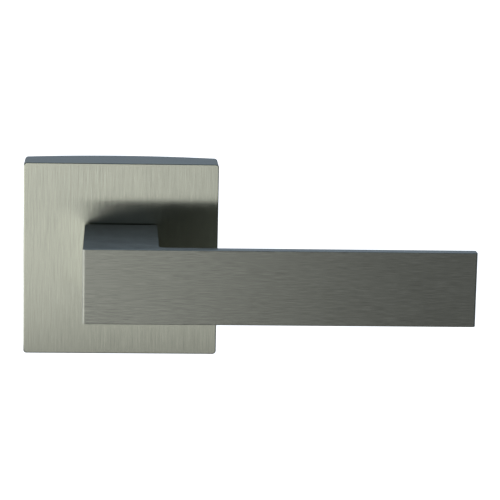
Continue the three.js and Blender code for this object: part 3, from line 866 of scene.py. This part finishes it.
def cast_zinc():
    """Grey zinc alloy with the fine grain and the flow marks of a die casting."""
    made = Surface("zinc_casting", Metallic=1.0)
    place = made.add("ShaderNodeTexCoord").outputs["Object"]
    grain = made.noise(place, 4500, 3)
    flow = made.noise(made.mapped(place, (90, 140, 90)), 1.0, 5, 0.6)
    dull, bright, lighter_edge = (0.4, 0.405, 0.415, 1), (0.56, 0.56, 0.565, 1), (0.66, 0.66, 0.66, 1)
    shade = made.blend(made.spread(flow, 0, 1), dull, bright)
    # Lighter along the edges.
    shade = made.blend(made.edge_mask(0.35 * MM), shade, lighter_edge)
    made.feed(made.shader.inputs["Base Color"], shade)
    rough = made.sum(made.spread(flow, 0.42, 0.56), made.spread(grain, -0.03, 0.05))
    made.feed(made.shader.inputs["Roughness"], rough)
    made.feed(made.shader.inputs["Normal"], made.bump(made.sum(grain, flow), 0.03 * MM))
    return made.material


def zinc_plate(name, lines_per_metre):
    """Bright zinc plate, bluish with faint yellow patches, over the fine lines that the tool left."""
    made = Surface(name, Metallic=1.0)
    place = made.add("ShaderNodeTexCoord").outputs["Object"]
    lines = made.noise(made.mapped(place, lines_per_metre), 1.0, 3)
    patches = made.noise(place, 260, 3)
    bluish, yellowish = (0.62, 0.65, 0.68, 1), (0.7, 0.69, 0.64, 1)
    grooves, lighter_edge = (0.5, 0.51, 0.53, 1), (0.76, 0.76, 0.76, 1)
    shade = made.blend(made.spread(patches, 0, 1), bluish, yellowish)
    shade = made.blend(made.spread(lines, 0, 0.45), shade, grooves)
    # Lighter along the edges.
    shade = made.blend(made.edge_mask(0.2 * MM), shade, lighter_edge)
    made.feed(made.shader.inputs["Base Color"], shade)
    rough = made.sum(made.spread(lines, 0.26, 0.34), made.spread(patches, 0, 0.06))
    made.feed(made.shader.inputs["Roughness"], rough)
    made.feed(made.shader.inputs["Normal"], made.bump(lines, 0.003 * MM))
    return made.material


def oiled_steel():
    """Dark spring steel under a thin film of oil, brownish in places."""
    made = Surface("spring_steel", Metallic=1.0)
    made.shader.inputs["Coat Weight"].default_value = 0.3
    made.shader.inputs["Coat Roughness"].default_value = 0.12
    place = made.add("ShaderNodeTexCoord").outputs["Object"]
    film, drawn = made.noise(place, 420, 4), made.noise(place, 5200, 2)
    bluish, brownish = (0.26, 0.265, 0.285, 1), (0.36, 0.335, 0.3, 1)
    shade = made.blend(made.spread(film, 0, 1), bluish, brownish)
    made.feed(made.shader.inputs["Base Color"], shade)
    rough = made.sum(made.spread(film, 0.26, 0.42), made.spread(drawn, -0.03, 0.04))
    made.feed(made.shader.inputs["Roughness"], rough)
    made.feed(made.shader.inputs["Normal"], made.bump(drawn, 0.006 * MM))
    return made.material


NYLON_DARK, NYLON_PALE = (0.72, 0.7, 0.62, 1), (0.82, 0.8, 0.74, 1)
BLACK_DARK, BLACK_PALE = (0.02, 0.02, 0.022, 1), (0.04, 0.04, 0.042, 1)


def moulded(name, dark, pale, grain_size, relief):
    """Moulded plastic with a fine grain and slightly polished edges."""
    made = Surface(name, Metallic=0.0)
    place = made.add("ShaderNodeTexCoord").outputs["Object"]
    grain, cloud = made.noise(place, 1 / grain_size, 3), made.noise(place, 150, 3)
    shade = made.blend(made.spread(made.times(made.sum(grain, cloud), 0.5), 0, 1), dark, pale)
    made.feed(made.shader.inputs["Base Color"], shade)
    rough = made.sum(made.spread(grain, 0.37, 0.49), made.spread(cloud, -0.03, 0.03))
    polished = made.times(made.edge_mask(0.3 * MM), 0.15)
    made.feed(made.shader.inputs["Roughness"], made.math_node("SUBTRACT", rough, polished))
    made.feed(made.shader.inputs["Normal"], made.bump(grain, relief))
    return made.material


def paint(thing, material):
    """Gives a piece one material."""
    thing.data.materials.clear()
    thing.data.materials.append(material)


# ---- stage

CAMERA_TARGET = Vector((44.2 * MM, 0, MM))
CAMERA_DISTANCE = 778.2 * MM
CAMERA_HEADING = 3.47  # degrees to the right of straight ahead
CAMERA_DIP = 10.8  # degrees below level
CAMERA_ROLL = 1.21  # degrees
CAMERA_LENS, CAMERA_SENSOR = 163.7, 36  # both in millimetres

WHITE = (1, 1, 1, 1)
SKY = (0.82, 1.0, 1.3, 1)
BACKDROP_LEVEL = 1.1
BAND_LEVEL = 7.2

# Each light's level by height above the horizon, and by heading from straight in front towards +X, in
# degrees: a band in front, the sky, a light from below and one from behind.
BAND_BY_HEIGHT = [
    (-90, 0), (-20, 0), (-17, 0.04), (-15, 0.17), (-14, 0.31), (-13.2, 0.5), (-12.6, 0.67),
    (-11.6, 0.81), (-10.6, 0.78), (-9.8, 0.7), (-9, 0.76), (-7, 0.78), (-5.5, 0.7),
    (-3.5, 0.55), (-1.5, 0.32), (1, 0.1), (5, 0.01), (90, 0),
]
BAND_BY_HEADING = [
    (-180, 0.01), (-130, 0.1), (-110, 0.2), (-90, 0.3), (-75, 0.6), (-62, 0.95), (-50, 0.4),
    (-38, 0.3), (-20, 0.42), (-8, 0.335), (-3, 0.32), (0, 0.28), (3, 0.185), (6, 0.11),
    (9, 0.05), (20, 0.12), (35, 0.05), (60, 0.01), (180, 0.01),
]
SKY_BY_HEIGHT = [(-90, 0.01), (-20, 0.01), (0, 0.12), (12, 0.29), (50, 0.55), (90, 0.65)]
SKY_BY_HEADING = [(-180, 1), (-120, 1), (-60, 0.3), (0, 0.25), (60, 0.3), (120, 1), (180, 1)]
LOW_BY_HEIGHT = [(-90, 0.5), (-62, 0.6), (-45, 0.65), (-30, 0.3), (-20, 0.05), (-14, 0), (90, 0)]
LOW_BY_HEADING = [
    (-180, 0.8), (-75, 1), (-45, 0.5), (-15, 0.22), (15, 0.22), (45, 0.5), (75, 1), (180, 0.8),
]
REAR_BY_HEIGHT = [(-90, 0), (-50, 0), (-35, 0.4), (-20, 0.9), (-6, 0.9), (1, 0.3), (8, 0), (90, 0)]
REAR_BY_HEADING = [(-180, 0.6), (-135, 1), (-105, 0), (100, 0), (130, 0.12), (165, 0.12), (180, 0.6)]


def make_camera():
    """A long lens that looks down and a little to the right."""
    heading, dip = math.radians(CAMERA_HEADING), math.radians(CAMERA_DIP)
    ahead = Vector((math.sin(heading) * math.cos(dip), math.cos(heading) * math.cos(dip), -math.sin(dip)))
    data = bpy.data.cameras.new("camera")
    data.lens = CAMERA_LENS
    data.sensor_width = CAMERA_SENSOR
    data.clip_start, data.clip_end = 0.01, 100
    camera = bpy.data.objects.new("camera", data)
    camera.location = CAMERA_TARGET - ahead * CAMERA_DISTANCE
    level = ahead.to_track_quat("-Z", "Y").to_matrix()
    camera.rotation_euler = (level @ Matrix.Rotation(math.radians(CAMERA_ROLL), 3, "Z")).to_euler()
    bpy.context.scene.collection.objects.link(camera)
    bpy.context.scene.camera = camera


def make_floor():
    """A pale floor far enough below for the object to be seen from underneath."""
    drop, reach = 1.2, 30
    corners = [(-reach, -reach, -drop), (reach, -reach, -drop), (reach, reach, -drop), (-reach, reach, -drop)]
    floor = mesh_object("floor", corners, [(0, 1, 2, 3)])
    pale = Surface("pale_floor", Roughness=0.9, Metallic=0.0)
    pale.shader.inputs["Base Color"].default_value = (0.8, 0.8, 0.8, 1)
    pale.shader.inputs["Emission Color"].default_value = WHITE
    pale.shader.inputs["Emission Strength"].default_value = 1.0
    paint(floor, pale.material)
    floor.visible_glossy = False


def make_world():
    """White behind the object. Its reflections see four soft lights instead."""
    world = bpy.data.worlds.new("studio")
    bpy.context.scene.world = world
    world.use_nodes = True
    tree = world.node_tree
    tree.nodes.clear()

    def add(kind, **settings):
        node = tree.nodes.new(kind)
        for key, value in settings.items():
            setattr(node, key, value)
        return node

    def math_node(operation, *values):
        node = add("ShaderNodeMath", operation=operation)
        for socket, value in zip(node.inputs, values):
            if isinstance(value, bpy.types.NodeSocket):
                tree.links.new(value, socket)
            else:
                socket.default_value = value
        return node.outputs[0]

    def ramp(value, stops):
        """A smooth curve that follows (degrees, level) stops."""
        low, high = stops[0][0], stops[-1][0]
        node = add("ShaderNodeMapRange")
        node.inputs["From Min"].default_value = low
        node.inputs["From Max"].default_value = high
        tree.links.new(value, node.inputs["Value"])
        curve = add("ShaderNodeValToRGB")
        curve.color_ramp.interpolation = "B_SPLINE"
        elements = curve.color_ramp.elements
        while len(elements) > 1:
            elements.remove(elements[-1])
        for k, (degrees, level) in enumerate(stops):
            position = (degrees - low) / (high - low)
            element = elements[0] if k == 0 else elements.new(position)
            element.position = position
            element.color = (level, level, level, 1)
        tree.links.new(node.outputs["Result"], curve.inputs["Fac"])
        return curve.outputs["Color"]

    direction = add("ShaderNodeTexCoord").outputs["Generated"]
    split = add("ShaderNodeSeparateXYZ")
    tree.links.new(direction, split.inputs[0])
    x, y, z = split.outputs
    height = math_node("MULTIPLY", math_node("ARCSINE", z), 180 / math.pi)
    heading = math_node("MULTIPLY", math_node("ARCTAN2", x, math_node("MULTIPLY", y, -1)), 180 / math.pi)

    def background(strength, colour):
        node = add("ShaderNodeBackground")
        tree.links.new(strength, node.inputs["Strength"])
        node.inputs["Color"].default_value = colour
        return node.outputs[0]

    def light(level, colour, by_height, by_heading):
        share = math_node("MULTIPLY", ramp(height, by_height), ramp(heading, by_heading))
        return background(math_node("MULTIPLY", share, level), colour)

    def together(first, second):
        both = add("ShaderNodeAddShader")
        tree.links.new(first, both.inputs[0])
        tree.links.new(second, both.inputs[1])
        return both.outputs[0]

    studio = light(BAND_LEVEL, WHITE, BAND_BY_HEIGHT, BAND_BY_HEADING)
    studio = together(studio, light(1, SKY, SKY_BY_HEIGHT, SKY_BY_HEADING))
    studio = together(studio, light(1, WHITE, LOW_BY_HEIGHT, LOW_BY_HEADING))
    studio = together(studio, light(1, WHITE, REAR_BY_HEIGHT, REAR_BY_HEADING))
    white = add("ShaderNodeBackground")
    white.inputs["Color"].default_value = WHITE
    white.inputs["Strength"].default_value = BACKDROP_LEVEL
    seen = add("ShaderNodeLightPath")
    choose = add("ShaderNodeMixShader")
    tree.links.new(seen.outputs["Is Camera Ray"], choose.inputs[0])
    tree.links.new(studio, choose.inputs[1])
    tree.links.new(white.outputs[0], choose.inputs[2])
    tree.links.new(choose.outputs[0], add("ShaderNodeOutputWorld").inputs["Surface"])


# ---- assembly

MATERIALS = {
    "zinc_casting": cast_zinc(),
    "plated_steel": zinc_plate("plated_steel", lines_per_metre=(900, 900, 900)),
    "drawn_steel": zinc_plate("drawn_steel", lines_per_metre=(5000, 120, 5000)),
    "spring_steel": oiled_steel(),
    "nylon": moulded("nylon", NYLON_DARK, NYLON_PALE, grain_size=0.4 * MM, relief=0.004 * MM),
    "black_plastic": moulded("black_plastic", BLACK_DARK, BLACK_PALE, grain_size=0.25 * MM, relief=0.02 * MM),
    # The rose's nickel: the same satin nickel, darkened further as painted shade.
    "rose_nickel_painted_shade": brushed_nickel(
        "rose_nickel_painted_shade", ROSE_NICKEL_PAINTED_SHADE, line=0.16 * MM, length=8 * MM, contrast=0.15, relief=0.01 * MM
    ),
    "lever_nickel": brushed_nickel(
        "lever_nickel", LEVER_NICKEL, line=0.1 * MM, length=4 * MM, contrast=0.32, relief=0.005 * MM
    ),
}


def add_piece(thing, body, slot, node, material=None):
    """A finished piece in place of its CAD node, riding on a body."""
    paint(thing, MATERIALS[material or slot])
    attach(thing, body)
    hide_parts(node)


def add_spring(node, start, end):
    """A spring whose first end rests in the rose and whose last end reaches the cam."""
    spring = return_spring(node, start, end)
    paint(spring, MATERIALS["spring_steel"])
    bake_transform(spring)
    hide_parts(node)


make_camera()
make_floor()
make_world()

rose_shell = make_rose_cover()
lay_brushing(rose_shell, lines=(2, 2, 0))
add_piece(rose_shell, "rose", "satin_nickel", "rose_cover", material="rose_nickel_painted_shade")
add_piece(mounting_plate(), "rose", "zinc_casting", "mounting_plate")
add_piece(bearing_bush(), "rose", "nylon", "bearing_bush")
add_piece(spring_cover_plate(), "rose", "plated_steel", "spring_cover_plate")
add_piece(bore_ring(), "rose", "black_plastic", "bore_ring")
rose_set_screw = grub_screw("rose_set_screw", pitch=0.7 * MM, socket=1.15 * MM)
add_piece(rose_set_screw, "rose", "plated_steel", "rose_set_screw")
for node in COVER_SCREWS:
    add_piece(cover_plate_screw(node), "rose", "plated_steel", node)
for node in WOOD_SCREWS:
    add_piece(wood_screw(node), "rose", "plated_steel", node)
for node in THROUGH_POSTS:
    add_piece(through_post(node), "rose", "plated_steel", node)
for node in ("post_washer_left", "post_washer_right"):
    add_piece(washer(node, POST_WASHER_BORE, chamfer=0.08 * MM), "rose", "plated_steel", node)
for node in ("machine_screw_left", "machine_screw_right"):
    add_piece(machine_screw(node), "rose", "plated_steel", node)

lever_casting = make_lever()
lay_brushing(lever_casting, lines=(1, 0, 0))
add_piece(lever_casting, "lever", "satin_nickel", "lever", material="lever_nickel")
lever_set_screw = grub_screw("lever_set_screw", pitch=MM, socket=1.75 * MM)
add_piece(lever_set_screw, "lever", "plated_steel", "lever_set_screw")
add_piece(spindle(), "lever", "plated_steel", "spindle", material="drawn_steel")
add_piece(driver_cam(), "lever", "zinc_casting", "driver_cam")
thrust_washer = washer("thrust_washer", SHANK_WASHER_BORE, chamfer=0.1 * MM)
add_piece(thrust_washer, "lever", "plated_steel", "thrust_washer")
add_piece(wave_washer(), "lever", "spring_steel", "wave_washer")
add_piece(retaining_ring(), "lever", "spring_steel", "retaining_ring")

add_spring("return_spring_right", SPRING_FOOT, SPRING_HEAD)
add_spring("return_spring_left", 180 - SPRING_FOOT, 180 - SPRING_HEAD)

bpy.context.scene.view_settings.view_transform = "Standard"
